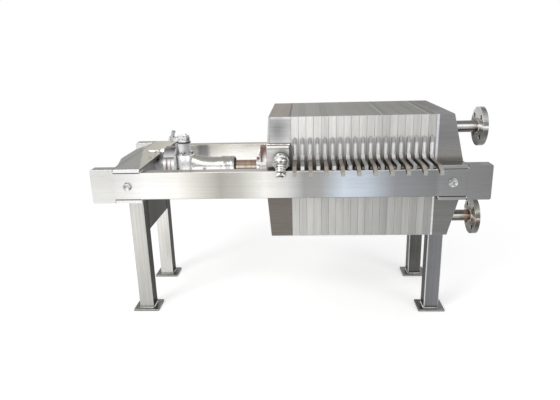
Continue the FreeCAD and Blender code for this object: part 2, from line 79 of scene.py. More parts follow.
def middle_of(node):
    low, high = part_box(node)
    return (low + high) / 2


def joint_place(name):
    return Vector(next(joint["pos_m"] for joint in frame["joints"] if joint["name"] == name))


# ------------------------------ places that the finishes share

BEAM_LOW, BEAM_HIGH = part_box("front_side_beam")
EAR_LOW, EAR_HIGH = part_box("head_tie_plates")
TAIL_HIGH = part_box("tail_top_plate")[1]
ROW_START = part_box(UNITS[0])[0].x
PLATE_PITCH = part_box("filter_plate_02")[0].x - ROW_START
PLATE_LOW, PLATE_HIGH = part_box("fixed_head")
JACK_HEIGHT = middle_of("jack_barrel").z
PUMP_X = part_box("pump_cap")[1].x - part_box("pump_cap")[1].y
BRACKET_LOW, BRACKET_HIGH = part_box("carrier_brackets")
POT_TOP = JACK_HEIGHT + 0.048
RAM_BORE = 0.01908
PAD_THICKNESS = 0.037
FLANGE_THICKNESS = 0.018
PORT_BORE = 0.018
PORT_HEIGHTS = {"upper": middle_of("upper_pipe").z, "lower": middle_of("lower_pipe").z}


def grey(tone, warm=0.0):
    """A grey, creamier above 0 and cooler below."""
    return (tone * (1 + warm), tone * (1 + 0.6 * warm), tone * (1 - warm))


def brown(tone, depth=0.2):
    return (tone * (1 + depth), tone, tone * (1 - 0.7 * depth))


# ------------------------------ materials

class Look:
    """A material under construction, with short ways to add and join its nodes."""

    def __init__(self, name):
        self.material = bpy.data.materials.new(name)
        self.material.use_nodes = True
        self.tree = self.material.node_tree
        self.shader = self.tree.nodes["Principled BSDF"]
        self.position = self.node("TexCoord").outputs["Object"]
        self.normal = self.node("NewGeometry").outputs["Normal"]

    def node(self, kind, settings=None, **inputs):
        """A shader node. Inputs are given by name, with _ for a space, as values or as sockets."""
        made = self.tree.nodes.new("ShaderNode" + kind)
        for key, value in (settings or {}).items():
            setattr(made, key, value)
        for key, value in inputs.items():
            self.feed(made.inputs[key.replace("_", " ")], value)
        return made

    def feed(self, socket, value):
        if isinstance(value, bpy.types.NodeSocket):
            self.tree.links.new(value, socket)
        else:
            socket.default_value = value

    def set(self, **inputs):
        for key, value in inputs.items():
            self.feed(self.shader.inputs[key.replace("_", " ")], value)

    def vector_maths(self, operation, first, second):
        made = self.node("VectorMath", {"operation": operation})
        self.feed(made.inputs[0], first)
        self.feed(made.inputs[1], second)
        return made

    def maths(self, operation, first, second=0.0):
        made = self.node("Math", {"operation": operation})
        self.feed(made.inputs[0], first)
        self.feed(made.inputs[1], second)
        return made.outputs[0]

    def product(self, first, second):
        return self.maths("MULTIPLY", first, second)

    def tinted(self, tone, by):
        """A tone multiplied by another."""
        return self.mix(1.0, tone, by, "MULTIPLY")

    def place(self, axis):
        """The coordinate along X, Y or Z; along OUT it is the distance from the middle plane of the press."""
        if axis == "OUT":
            return self.maths("ABSOLUTE", self.place("Y"))
        return self.node("SeparateXYZ", Vector=self.position).outputs[axis]

    def noise(self, scale, stretch=(1, 1, 1), detail=3, roughness=0.5):
        """Noise between 0 and 1, with `scale` features a metre, squeezed along each axis by `stretch`."""
        mapping = self.node("Mapping", Vector=self.position, Scale=stretch)
        made = self.node("TexNoise", Vector=mapping.outputs[0], Scale=scale, Detail=detail, Roughness=roughness)
        return made.outputs["Fac"]

    def spread(self, value, low, high, to_low=0.0, to_high=1.0):
        """Maps the range low to high onto another, without going past it."""
        made = self.node("MapRange", Value=value)
        for index, limit in enumerate((low, high, to_low, to_high), start=1):
            made.inputs[index].default_value = limit
        return made.outputs[0]

    def between(self, value, low, high, soft=0.0003):
        """1 between two limits and 0 past them."""
        rise = self.spread(value, low - soft, low + soft)
        fall = self.spread(value, high - soft, high + soft, 1.0, 0.0)
        return self.product(rise, fall)

    def mix(self, factor, first, second, blend="MIX"):
        """Mixes two tones. A tone is a colour, a socket or a function of the look."""
        made = self.node("Mix", {"data_type": "RGBA", "blend_type": blend})
        self.feed(made.inputs["Factor"], factor)
        for socket, tone in ((made.inputs[6], first), (made.inputs[7], second)):
            tone = tone(self) if callable(tone) else tone
            self.feed(socket, tone if isinstance(tone, bpy.types.NodeSocket) else (*tone, 1))
        return made.outputs[2]

    def ramp(self, value, stops):
        """A colour that follows a value. A stop is a value and a colour, or a value and a grey's tone and warmth."""
        start, end = stops[0][0], stops[-1][0]
        made = self.node("ValToRGB", Fac=self.spread(value, start, end))
        elements = made.color_ramp.elements
        while len(elements) < len(stops):
            elements.new(0.5)
        for element, (place, *tone) in zip(elements, stops):
            element.position = (place - start) / (end - start)
            element.color = (*(tone[0] if isinstance(tone[0], tuple) else grey(*tone)), 1)
        return made.outputs["Color"]

    def alignment(self, axis):
        """1 on faces that look straight along an axis, either way, and 0 on faces across it."""
        square = self.vector_maths("MULTIPLY", self.normal, self.normal).outputs[0]
        return self.node("SeparateXYZ", Vector=square).outputs[axis]

    def lit_by_facing(self, front, top, end):
        """Painted light and shade by facing: one tone on faces towards the front or rear, one on tops and one on
        ends, blended on curves.
        """
        level = self.mix(self.spread(self.alignment("X"), 0.1, 0.9), front, end)
        return self.mix(self.spread(self.alignment("Z"), 0.15, 0.8), level, top)

    def slanting(self):
        """1 on bevels and curves that face half towards the front or rear and half to an end, and 0 elsewhere."""
        return self.between(self.alignment("X"), 0.28, 0.75, 0.12)

    def facing_ends(self):
        """1 on faces that look along the press, and 0 on the others."""
        return self.spread(self.alignment("X"), 0.4, 0.8)

    def edges(self, radius):
        """1 along sharp edges and 0 elsewhere, and the normal rounded over them."""
        rounded = self.node("Bevel", {"samples": 6}, Radius=radius).outputs[0]
        flat = self.vector_maths("DOT_PRODUCT", rounded, self.normal).outputs["Value"]
        return self.spread(flat, 0.999, 0.9), rounded

    def rubbed_and_lit_edges(self, tone, radius, rub_and_highlight, bright):
        """A tone with its sharp edges brightened, as rubbed metal and as a painted highlight, and the normal rounded
        over them.
        """
        edge, rounded = self.edges(radius)
        return self.mix(self.product(edge, rub_and_highlight), tone, bright), rounded

    def bump(self, height, strength, distance, normal=None):
        """The normal over fine relief, laid on another normal if one is given."""
        made = self.node("Bump", Height=height, Strength=strength, Distance=distance)
        if normal is not None:
            self.feed(made.inputs["Normal"], normal)
        return made.outputs[0]

    def corners(self, reach):
        """1 deep in corners and gaps, and 0 on open faces; the finishes darken there as painted shade."""
        shade = self.node("AmbientOcclusion", {"samples": 8}, Distance=reach).outputs["AO"]
        return self.spread(shade, 0.2, 0.9, 1.0, 0.0)


def along(axis, *stops):
    """A tone that changes along an axis, with stops as in Look.ramp."""
    return lambda look: look.ramp(look.place(axis), stops)


def past(axis, limit, before, after, soft=0.0004):
    """One tone up to a limit along an axis, and another past it."""
    return lambda look: look.mix(look.spread(look.place(axis), limit - soft, limit + soft), before, after)


def spot(centre, radii, inside, outside):
    """One tone at a point, which fades into another around it."""
    def tone(look):
        offset = look.vector_maths("SUBTRACT", look.position, centre).outputs[0]
        share = look.vector_maths("DIVIDE", offset, radii).outputs[0]
        far = look.vector_maths("LENGTH", share, (0, 0, 0)).outputs["Value"]
        return look.mix(look.spread(far, 0.2, 1.0), inside, outside)
    return tone


GRAIN = {"X": (0.02, 1, 1), "Y": (1, 0.02, 1), "Z": (1, 1, 0.02), "": (1, 1, 1)}
CLOUD_STRETCH = {"X": (0.35, 1, 1), "Y": (1, 0.35, 1), "Z": (1, 1, 0.35), "": (1, 1, 1)}
DARK_JOINT = grey(0.035)
# The colour of edges rubbed bright, which also serves as a painted highlight along them.
RUBBED_AND_LIT_EDGE = grey(0.90, 0.01)


def beam_joints(look):
    """The dark joints between the beams and the plates that clasp them, at the height of the beam's edges."""
    x = look.maths("ABSOLUTE", look.place("X"))
    z = look.place("Z")
    clasped = look.between(x, EAR_LOW.x, EAR_HIGH.x)
    low = look.between(z, BEAM_LOW.z - 0.0020, BEAM_LOW.z + 0.0015)
    high = look.between(z, BEAM_HIGH.z - 0.0026, BEAM_HIGH.z + 0.0008)
    lines = look.product(clasped, look.maths("MAXIMUM", low, high))
    above = look.between(z, BEAM_HIGH.z - 0.001, 1)
    below = look.between(z, 0, BEAM_LOW.z + 0.001)
    ends = look.product(look.between(x, EAR_HIGH.x - 0.001, EAR_HIGH.x + 0.0022),
                        look.maths("MAXIMUM", above, below))
    flush = look.between(x, EAR_HIGH.x - 0.004, EAR_HIGH.x + 0.004)
    return look.maths("MAXIMUM", lines, look.product(ends, 0.7)), flush


def steel(name, front, top, end, grain, roughness=(0.24, 0.38), stain=grey(0.55, 0.06), stained=0.25,
          metallic=0.9, edge=0.0018, rub_and_highlight=0.6, streaks=0.10, bands=0.10, corner_shade=0.0, joints=None):
    """Brushed stainless steel: painted light and shade by facing, fine streaks along one axis, cloudy stains, edges
    rubbed bright and given a painted highlight, and painted shade in corners.
    """
    look = Look(name)
    fine = look.noise(900, GRAIN[grain], detail=4, roughness=0.7)
    broad = look.noise(150, GRAIN[grain], detail=3)
    clouds = look.noise(9, CLOUD_STRETCH[grain], detail=6, roughness=0.62)
    tone = look.lit_by_facing(front, top, end)
    tone = look.tinted(tone, look.mix(look.spread(fine, 0.3, 0.7), grey(1 - 2 * streaks), grey(1)))
    tone = look.tinted(tone, look.mix(look.spread(broad, 0.3, 0.7), grey(1 - bands), grey(1 + bands)))
    tone = look.mix(look.spread(clouds, 0.48, 0.72, 0, stained), tone, look.tinted(tone, stain))
    # Painted shade in corners.
    if corner_shade:
        tone = look.mix(look.product(look.corners(0.03), corner_shade), tone, grey(0.04, 0.08))
    rubbed_and_lit_edges, rounded = look.edges(edge)
    if joints:
        lines, flush = joints(look)
        rubbed_and_lit_edges = look.product(rubbed_and_lit_edges, look.maths("SUBTRACT", 1.0, flush))
    # Sharp edges brightened as rubbed metal and as a painted highlight.
    tone = look.mix(look.product(rubbed_and_lit_edges, rub_and_highlight), tone, RUBBED_AND_LIT_EDGE)
    if joints:
        tone = look.mix(lines, tone, DARK_JOINT)
    look.set(Base_Color=tone, Metallic=metallic, Normal=look.bump(fine, 0.25, 0.0003, rounded), Anisotropic=0.4,
             Specular_Tint=(0.6, 0.6, 0.6, 1),
             Roughness=look.spread(look.maths("ADD", fine, clouds), 0.7, 1.3, *roughness))
    return look.material


def unit_steel(name, low_tone, high_tone, arm_left, arm_right, tip, tip_tone):
    """Satin plates with vertical brushing, each with its own tone, and the handles on their sides, with painted light
    and shade on plates and handles.
    """
    look = Look(name)
    x = look.place("X")
    count = look.maths("DIVIDE", look.maths("SUBTRACT", x, ROW_START), PLATE_PITCH)
    index = look.maths("FLOOR", count)
    own = look.node("TexWhiteNoise", {"noise_dimensions": "1D"}, W=index).outputs["Value"]
    aside = look.maths("ABSOLUTE", look.maths("SUBTRACT", look.maths("FRACT", count), 0.497))
    seam = look.spread(aside, 0.45, 0.495)
    face = look.mix(own, low_tone, high_tone)
    # Painted light: the plates darken from left to right and towards the bottom.
    face = look.tinted(face, along("X", (ROW_START, 1.08, 0.01), (0.27, 0.83, 0.01), (0.53, 0.69, 0.01)))
    face = look.tinted(face, along("Z", (0.33, 0.63), (0.50, 0.67), (0.66, 0.95), (0.78, 1)))
    streak = look.noise(70, GRAIN["Z"], detail=4, roughness=0.6)
    face = look.tinted(face, look.mix(look.spread(streak, 0.3, 0.7), grey(0.86), grey(1.10)))
    # Painted reflections on the plates' tops, with painted highlights along the tops of two joints.
    edge_top = look.mix(own, along("X", (ROW_START, 0.28, 0.05), (0.53, 0.15, 0.05)),
                        along("X", (ROW_START, 0.34, 0.04), (0.53, 0.20, 0.06)))
    for joint in (12, 18):
        glinting_joint = ROW_START + joint * PLATE_PITCH - 0.0002
        edge_top = look.mix(look.between(x, glinting_joint - 0.0014, glinting_joint + 0.0010), edge_top, grey(0.70))
    plate = look.lit_by_facing(face, edge_top, grey(0.7))
    plate = look.mix(look.product(seam, 0.12), plate, look.tinted(plate, grey(0.35)))
    # Painted shade between the handles, low on the plates.
    gap = look.product(look.corners(0.05), look.between(look.place("Z"), 0.59, 0.700, 0.012))
    plate = look.mix(look.product(gap, 0.30), plate, grey(0.16, 0.05))
    # Painted light on the handles: highlights on the uprights and rims, reflections on the arms' tops, shade on their
    # sides, and lit tips.
    upright = along("Z", (0.600, brown(0.20)), (0.628, brown(0.26)), (0.638, 0.70), (0.646, 0.98), (0.668, 0.98),
                    (0.682, 0.92), (0.688, 0.46), (0.707, 0.46))
    arm = along("X", (ROW_START, arm_left), (0.53, arm_right))
    side = along("Z", (0.60, 0.14, 0.1), (0.65, 0.16), (0.70, 0.20))
    rim = along("Z", (0.62, brown(0.28)), (0.64, 0.90), (0.680, 0.98), (0.690, 0.50), (0.707, 0.62))
    handle = look.lit_by_facing(look.mix(look.spread(look.place("OUT"), *tip), upright, tip_tone), arm, side)
    handle = look.mix(look.slanting(), handle, rim)
    on_handle = look.spread(look.place("OUT"), 0.2252, 0.2256)
    tone = look.mix(on_handle, plate, handle)
    sheltered = look.maths("MAXIMUM", look.product(on_handle, look.slanting()),
                           look.product(look.between(look.place("Z"), 0.59, 0.696, 0.012),
                                        look.maths("SUBTRACT", 0.8, look.product(on_handle, 0.8))))
    fine = look.noise(900, GRAIN["Z"], detail=4, roughness=0.7)
    clouds = look.noise(9, (1, 1, 0.4), detail=6, roughness=0.6)
    tone = look.tinted(tone, look.mix(look.spread(fine, 0.3, 0.7), grey(0.80), grey(1.04)))
    tone = look.mix(look.spread(clouds, 0.5, 0.72, 0, 0.25), tone, look.tinted(tone, grey(0.62, 0.04)))
    tone, rounded = look.rubbed_and_lit_edges(tone, 0.0012, 0.15, RUBBED_AND_LIT_EDGE)
    metal = look.maths("SUBTRACT", 0.85, look.product(sheltered, 0.5))
    look.set(Base_Color=tone, Metallic=metal, Normal=look.bump(fine, 0.3, 0.0003, rounded), Anisotropic=0.4,
             Specular_Tint=(0.6, 0.6, 0.6, 1), Roughness=look.spread(fine, 0.3, 0.7, 0.34, 0.48))
    return look.material


def painted_casting(name, front, top, end, metal=0.75):
    """Bright aluminium paint over a casting, with painted light and shade by facing, soft dents, dirt in patches and
    painted shade in corners.
    """
    look = Look(name)
    clouds = look.noise(24, detail=5, roughness=0.6)
    pits = look.noise(420, detail=2)
    tone = look.lit_by_facing(front, top, end)
    tone = look.mix(look.spread(clouds, 0.5, 0.75, 0, 0.15), tone, look.tinted(tone, grey(0.45, 0.04)))
    # Painted shade in corners.
    tone = look.mix(look.product(look.corners(0.012), 0.5), tone, grey(0.10, 0.02))
    tone, rounded = look.rubbed_and_lit_edges(tone, 0.002, 0.5, grey(0.95))
    look.set(Base_Color=tone, Metallic=metal, Normal=look.bump(pits, 0.25, 0.0005, rounded),
             Roughness=look.spread(clouds, 0.4, 0.7, 0.22, 0.38))
    return look.material


def rusty_ram():
    """A bare rod with turning marks under brown stains, painted shade along its underside and a painted highlight
    along its lower front.
    """
    look = Look("stained_rod")
    rings = look.noise(240, (1, 0.02, 0.02), detail=3)
    patches = look.noise(34, (1, 1, 1), detail=6, roughness=0.65)
    low = JACK_HEIGHT - 0.019
    level = along("Z", (low, 0.12, 0.15), (low + 0.007, 0.16, 0.15), (low + 0.010, 0.85, 0.05),
                  (low + 0.016, 0.75, 0.06), (low + 0.020, (0.40, 0.29, 0.19)), (low + 0.030, (0.27, 0.19, 0.15)),
                  (low + 0.038, (0.20, 0.15, 0.14)))
    tone = look.mix(look.spread(patches, 0.5, 0.7, 0, 0.6), level, (0.45, 0.27, 0.15))
    tone = look.mix(look.spread(rings, 0.4, 0.6, 0, 0.35), tone, (0.16, 0.10, 0.08))
    look.set(Base_Color=tone, Metallic=0.8, Normal=look.bump(rings, 0.3, 0.0004),
             Roughness=look.spread(patches, 0.35, 0.65, 0.28, 0.45))
    return look.material


def fittings(name, light, dark, low=0.4, high=0.62, reach=0.008, shade=0.6):
    """Plated small parts, darkened by oil in patches, with painted shade in their corners."""
    look = Look(name)
    clouds = look.noise(75, detail=5, roughness=0.6)
    tone = look.mix(look.spread(clouds, low, high), light, dark)
    # Painted shade in corners.
    tone = look.mix(look.product(look.corners(reach), shade), tone, grey(0.05))
    tone, rounded = look.rubbed_and_lit_edges(tone, 0.001, 0.6, RUBBED_AND_LIT_EDGE)
    look.set(Base_Color=tone, Metallic=0.9, Normal=rounded, Roughness=look.spread(clouds, 0.4, 0.7, 0.18, 0.42))
    return look.material


def flanged_pipe_steel(name, height, share, rust):
    """A turned pipe and flange: a painted highlight along the height of the pipe, painted shade below it, rusty at
    the weld.
    """
    look = Look(name)
    rings = look.noise(700, (0.02, 1, 1), detail=3)
    level = along("Z", (height - 0.070, 0.12, 0.04), (height - 0.040, 0.24, 0.03), (height - 0.021, 0.10, 0.05),
                  (height - 0.006, 0.12, 0.05), (height - 0.003, 0.40, 0.02), (height + 0.001, 0.45, 0.02),
                  (height + 0.004, 0.97), (height + 0.009, 0.97), (height + 0.011, 0.24, 0.05),
                  (height + 0.018, 0.20, 0.05), (height + 0.022, 0.20, 0.04), (height + 0.035, 0.62, 0.02),
                  (height + 0.070, 0.50))
    level = look.lit_by_facing(level, grey(0.14, 0.05), look.tinted(level, grey(2.1)))
    # share scales the whole pipe's painted light; the lower pipe is painted darker.
    tone = look.tinted(level, share)
    clouds = look.noise(28, detail=6, roughness=0.65)
    tone = look.mix(look.spread(clouds, 0.5, 0.7, 0, rust), tone, (0.10, 0.045, 0.035))
    hub = Vector((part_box("upper_pipe")[1].x - FLANGE_THICKNESS, middle_of("upper_pipe").y, height))
    offset = look.vector_maths("DISTANCE", look.position, hub).outputs["Value"]
    tone = look.mix(look.spread(offset, 0.022, 0.036, rust, 0), tone, (0.36, 0.19, 0.11))
    tone = look.mix(look.spread(rings, 0.3, 0.7, 0, 0.15), tone, grey(0.06))
    # Painted shade in corners.
    tone = look.mix(look.product(look.corners(0.006), 0.4), tone, grey(0.04, 0.05))
    tone, rounded = look.rubbed_and_lit_edges(tone, 0.0016, 0.55, RUBBED_AND_LIT_EDGE)
    metal = look.maths("SUBTRACT", 0.9, look.product(look.facing_ends(), 0.55))
    look.set(Base_Color=tone, Metallic=metal, Normal=look.bump(rings, 0.2, 0.0003, rounded),
             Roughness=look.spread(clouds, 0.4, 0.7, 0.14, 0.32))
    return look.material


def weld_metal():
    """Weld beads: bright ripples with straw and brown heat tint."""
    look = Look("weld_metal")
    patches = look.noise(45, detail=5)
    tone = look.mix(look.spread(patches, 0.4, 0.65), grey(0.70, 0.03), (0.36, 0.31, 0.26))
    look.set(Base_Color=tone, Metallic=0.9, Roughness=look.spread(patches, 0.3, 0.7, 0.25, 0.5))
    return look.material


def rubber(name, tone):
    """Matt seals and grease."""
    look = Look(name)
    dust = look.noise(120, detail=4)
    look.set(Base_Color=look.mix(look.spread(dust, 0.45, 0.7), grey(tone), grey(tone * 3, 0.05)),
             Roughness=look.spread(dust, 0.3, 0.7, 0.45, 0.7))
    return look.material


def tail_top(look):
    """A painted reflection: grey towards the front corner and creamy towards the rear, split along a slanting line.
    """
    aslant = look.maths("ADD", look.place("X"), look.product(look.place("Y"), 0.266))
    return look.ramp(aslant, [(-0.74, 0.39, 0.02), (-0.625, 0.38, 0.02), (-0.612, 0.36, 0.04), (-0.602, 0.58, 0.09),
                              (-0.45, 0.72, 0.12)])


# Painted reflections along the beams' outer faces: warm and bright at the left, olive bands, pale blue past the
# middle and dark grey to the right.
BEAM_OUTSIDE_REFLECTIONS = along("X", (-0.714, 0.76, 0.01), (-0.64, 0.74, 0.02), (-0.57, 0.84, 0.02), (-0.51, 0.96, 0.01),
                     (-0.40, 0.92, 0.03), (-0.33, 0.68, 0.05), (-0.24, 0.40, 0.07), (-0.17, 0.52, 0.05),
                     (-0.08, 0.86, 0.03), (0.00, 0.66, 0.01), (0.06, 0.35, 0.01), (0.12, 0.38),
                     (0.20, (0.60, 0.665, 0.745)), (0.28, (0.53, 0.585, 0.655)), (0.38, 0.30, -0.04),
                     (0.52, 0.225, -0.01), (0.533, 0.27, -0.01), (0.714, 0.225, -0.01))
# Painted reflections on the beams' inner faces: bright, with a dark band where the pump is reflected.
BEAM_INSIDE_REFLECTIONS = along("X", (-0.50, 0.85, 0.05), (-0.435, 0.82, 0.05), (-0.42, 0.38, 0.01), (-0.385, 0.36),
                    (-0.365, 0.78, 0.05), (-0.30, 0.92, 0.05), (-0.26, 1.0, 0.03), (-0.10, 1.0, 0.04), (0.50, 0.45))
# Painted reflections on the beams' tops, brown over the middle.
BEAM_TOP = along("X", (-0.70, 0.34, 0.02), (-0.45, 0.38, 0.05), (-0.38, brown(0.50, 0.15)),
                 (-0.10, brown(0.54, 0.13)), (0.10, 0.40, 0.02), (0.60, 0.26))
# The beams' outer fronts, with painted shade along the lower edge and a painted highlight along the top edge.
BEAM_FRONT_EDGE_LIGHT = past("Z", BEAM_LOW.z + 0.0018, grey(0.14, 0.02),
                  past("Z", BEAM_HIGH.z - 0.003, BEAM_OUTSIDE_REFLECTIONS, grey(0.85, 0.01)))
# Painted light on the tie plates' fronts: bright at the left end, grey at the right.
EAR_FRONT = along("X", (-0.664, 0.92), (-0.53, 0.92), (0.53, 0.36, 0.01), (0.63, 0.30, 0.01))
# Bands across the reservoir: the near-white ones are painted highlights, set between grey and dark reddish lines.
RESERVOIR_BANDS = along("X", (-0.549, 0.70), (-0.512, 0.70), (-0.5035, 0.12), (-0.502, 0.98), (-0.494, 0.98),
                          (-0.490, (0.26, 0.19, 0.18)), (-0.487, (0.24, 0.17, 0.16)), (-0.483, 0.85),
                          (-0.477, 0.92), (-0.473, (0.34, 0.28, 0.27)), (-0.468, 0.80), (-0.459, 0.98),
                          (-0.452, 0.98), (-0.404, 0.98))
# The jack's front: the reservoir's bands low down, painted shade on the reservoir's upper part, and the pump above,
# lit on its left with painted shade towards its right.
JACK_FRONT = past("Z", POT_TOP, past("Z", JACK_HEIGHT + 0.034, RESERVOIR_BANDS,
                                                 past("X", -0.459, grey(0.16, -0.03), grey(0.85)), 0.01),
                  along("X", (PUMP_X - 0.026, 0.98), (PUMP_X - 0.002, 0.98), (PUMP_X + 0.007, 0.60, -0.05),
                        (PUMP_X + 0.026, 0.42, -0.07)))
# The fixed head's front: a painted highlight down its left edge, and a darker face that changes with height.
HEAD_UPPER = past("X", PLATE_LOW.x + 0.009, grey(0.74, -0.05),
                  along("Z", (0.60, 0.33, 0.06), (0.65, 0.27, 0.04), (0.68, 0.25), (0.78, 0.27)))
HEAD_LOWER = past("X", PLATE_LOW.x + 0.007, grey(0.70, -0.02), grey(0.19, 0.01))


def moving_head_front(look):
    """Painted shade in the middle, with painted highlights along its slanting outer edge and its top."""
    edge = look.maths("ADD", look.place("X"), look.product(look.place("Z"), -0.0671))
    level = look.ramp(look.place("Z"), [(0.682, 0.25), (0.6875, 0.27), (0.690, 0.76, 0.01), (0.715, 0.64),
                                        (0.772, 0.58), (0.776, 0.80), (0.782, 0.98, 0.01)])
    shaded_middle = spot((-0.034, -0.225, 0.737), (0.042, 9, 0.058), grey(0.36, -0.01), level)
    lit_border = look.ramp(edge, [(-0.1206, 0.25), (-0.1190, 0.66), (-0.1125, 0.62), (-0.1110, 0.36), (-0.1095, 0.42)])
    return look.mix(look.between(edge, -0.2, -0.1095, 0.0008), shaded_middle, lit_border)


# The brackets' fronts: lighter towards the top, a painted highlight along the top edge over a dark line, and painted
# shade on the right end.
BRACKET_FRONT = past("X", 0.006,
                     along("Z", (0.606, 0.50, 0.02), (0.630, 0.62, 0.03), (0.670, 0.74, 0.03), (0.672, 0.30),
                           (0.6735, 0.32), (0.675, 0.98, 0.01), (0.683, 0.98, 0.01)),
                     grey(0.16, 0.02))
# The ram pad's rim: painted highlights as a white spot, a white band and a thin strip at its left edge, with dark
# brown rust between them, and white on its lower part.
PAD_RIM = spot((-0.092, -0.06, 0.592), (0.015, 9, 0.042), grey(0.98),
               along("X", (-0.115, 0.95), (-0.1135, 0.95), (-0.1125, (0.17, 0.105, 0.095)),
                     (-0.101, (0.24, 0.17, 0.15)), (-0.094, brown(0.36)), (-0.082, 0.50, 0.03), (-0.078, 0.45)))
PAD_FRONT = past("X", -0.1155, grey(0.98), past("Z", 0.586, grey(0.98), PAD_RIM, 0.003))
# Painted light on the legs: the tail legs lighter higher up and at the rear; the head legs with a painted highlight
# down their left edges and painted shade, deeper on the rear leg.
TAIL_LEG = past("Y", 0, along("Z", (0.0, 0.44, 0.02), (0.20, 0.53, 0.03), (0.48, 0.63, 0.03)),
                along("Z", (0.0, 0.62, 0.02), (0.20, 0.74, 0.03), (0.48, 0.88, 0.03)))
HEAD_LEG = past("X", 0.5325, grey(0.66, -0.03), past("Y", 0, grey(0.195, -0.025), grey(0.11, 0.03)), 0.0015)

# The front, top and end tones given to each finish are painted light and shade by facing, on top of the painted light
# of the shared tones above.
FINISHES = {
    "side_beam": steel("beam_brushed_steel", past("OUT", 0.267, BEAM_INSIDE_REFLECTIONS, BEAM_FRONT_EDGE_LIGHT), BEAM_TOP, grey(0.30), "X",
                       (0.18, 0.30), rub_and_highlight=0.3, joints=beam_joints, streaks=0.04, bands=0.04, stained=0.08),
    "beam_end_blocks": steel("end_block_steel", BEAM_OUTSIDE_REFLECTIONS, BEAM_TOP, grey(0.20), "X", (0.18, 0.30), rub_and_highlight=0.2,
                             joints=beam_joints, streaks=0.04, bands=0.04, stained=0.08),
    "tail_top_plate": steel("tail_plate_steel", EAR_FRONT, tail_top, grey(0.30), "Y", joints=beam_joints,
                            streaks=0.05, bands=0.04, stained=0.12),
    "tail_bottom_plate": steel("tail_base_steel", EAR_FRONT, grey(0.30), grey(0.10), "Y", joints=beam_joints),
    "head_tie_plates": steel("tie_plate_steel", EAR_FRONT, grey(0.30), grey(0.10), "X", joints=beam_joints,
                             bands=0.04),
    "tail_housing": steel("housing_steel", grey(0.55, 0.02), grey(0.30), grey(0.18), "Y"),
    "tail_thrust_plate": steel("thrust_plate_steel", grey(0.5), grey(0.3),
                               along("Y", (-0.245, 0.70, -0.03), (0.245, 0.90, 0.01)), "Z", stained=0.2,
                               corner_shade=0.15),
    "tail_apron": steel("apron_steel", grey(0.08, 0.08), grey(0.08, 0.08), grey(0.060, 0.08), "Z", rub_and_highlight=0.15),
    # Painted shade on the tail legs' sides that face +X.
    "tail_legs": steel("tail_leg_steel", TAIL_LEG, grey(0.4),
                       past("X", -0.59, grey(0.40, 0.02), grey(0.035, 0.08)), "Z", streaks=0.05, edge=0.0025,
                       rub_and_highlight=0.35),
    # Painted shade on the head legs' sides that face -X.
    "head_legs": steel("head_leg_steel", HEAD_LEG, grey(0.3), past("X", 0.557, grey(0.06, 0.04), grey(0.30)), "Z",
                       streaks=0.05, edge=0.0035, rub_and_highlight=0.8),
    "foot_plates": steel("foot_plate_steel", grey(0.34, 0.01), grey(0.20, 0.02), grey(0.20, 0.02), "X", rub_and_highlight=0.5,
                         corner_shade=0.3),
    # The fixed head: a painted highlight along the inner edge of its top, brown beyond, and painted shade on its end
    # that faces the plates.
    "fixed_head": steel("fixed_head_steel", past("Z", 0.55, HEAD_LOWER, HEAD_UPPER),
                        along("X", (0.5273, 0.40), (0.5290, 0.40), (0.5300, brown(0.13, 0.1)),
                              (0.59, brown(0.10, 0.1))), past("X", 0.58, grey(0.10), grey(0.34)), "X", stained=0.2,
                        bands=0.05, rub_and_highlight=0.3),
    # The moving head: painted shade on its lower front and on its top towards the plates, and painted reflections on
    # the rest of its top.
    "moving_head": steel("moving_head_steel", past("Z", 0.55, brown(0.165, 0.12), moving_head_front),
                         past("X", 0.008, brown(0.25, 0.22), (0.07, 0.035, 0.03)), grey(0.36), "X", stained=0.15,
                         bands=0.05),
    "carrier_brackets": steel("bracket_steel", BRACKET_FRONT, grey(0.40, 0.02), grey(0.10), "X", stained=0.15,
                              corner_shade=0.25, rub_and_highlight=0.4),
    "ram_pad": steel("ram_pad_steel", PAD_FRONT, (0.22, 0.13, 0.11), grey(0.12), "", (0.15, 0.3), stained=0.1,
                     rub_and_highlight=0.3),
    "carrier_roller": steel("roller_turned_steel", grey(0.55, 0.03), grey(0.35), grey(0.30), "", (0.15, 0.3),
                            corner_shade=0.3, rub_and_highlight=0.3),
    "carrier_keepers": steel("keeper_steel", grey(0.5), grey(0.35), grey(0.3), ""),
    "filter_plate": unit_steel("plate_satin_steel", grey(0.80, 0.01), grey(0.93, 0.01), grey(0.42, 0.05),
                               grey(0.82, -0.01), (0.340, 0.345),
                               along("X", (0.10, 0.85), (0.30, 0.40))),
    "filter_frame": unit_steel("frame_satin_steel", grey(0.76, 0.01), grey(0.89, 0.01), brown(0.34),
                               brown(0.44, 0.12), (0.376, 0.382), grey(0.42, 0.05)),
    # Painted reflections: the reservoir's top dark, and a painted highlight band along the barrel's middle, darker
    # above.
    "jack_body": painted_casting("jack_aluminium_paint", JACK_FRONT,
                                 past("X", -0.459, grey(0.13, 0.02), grey(0.80)), grey(0.98), 0.3),
    "jack_barrel": painted_casting("barrel_aluminium_paint",
                                   along("Z", (JACK_HEIGHT + 0.008, 0.98), (JACK_HEIGHT + 0.015, 0.55, 0.03),
                                         (JACK_HEIGHT + 0.022, 0.32, 0.05), (JACK_HEIGHT + 0.034, 0.36, 0.05)),
                                   grey(0.26, 0.05), grey(0.50)),
    "jack_ram": rusty_ram(),
    "pump_cap": fittings("cap_metal", grey(0.98), grey(0.35, -0.03), 0.5, 0.66),
    "pump_lever_socket": fittings("socket_metal", grey(0.60), grey(0.15), 0.4, 0.6),
    "jack_release_valve": fittings("valve_metal", grey(0.85), grey(0.22, -0.03), 0.44, 0.60),
    "upper_pipe": flanged_pipe_steel("upper_pipe_steel", PORT_HEIGHTS["upper"], grey(1), 0.15),
    "lower_pipe": flanged_pipe_steel("lower_pipe_steel", PORT_HEIGHTS["lower"], grey(0.75, 0.04), 0.75),
}
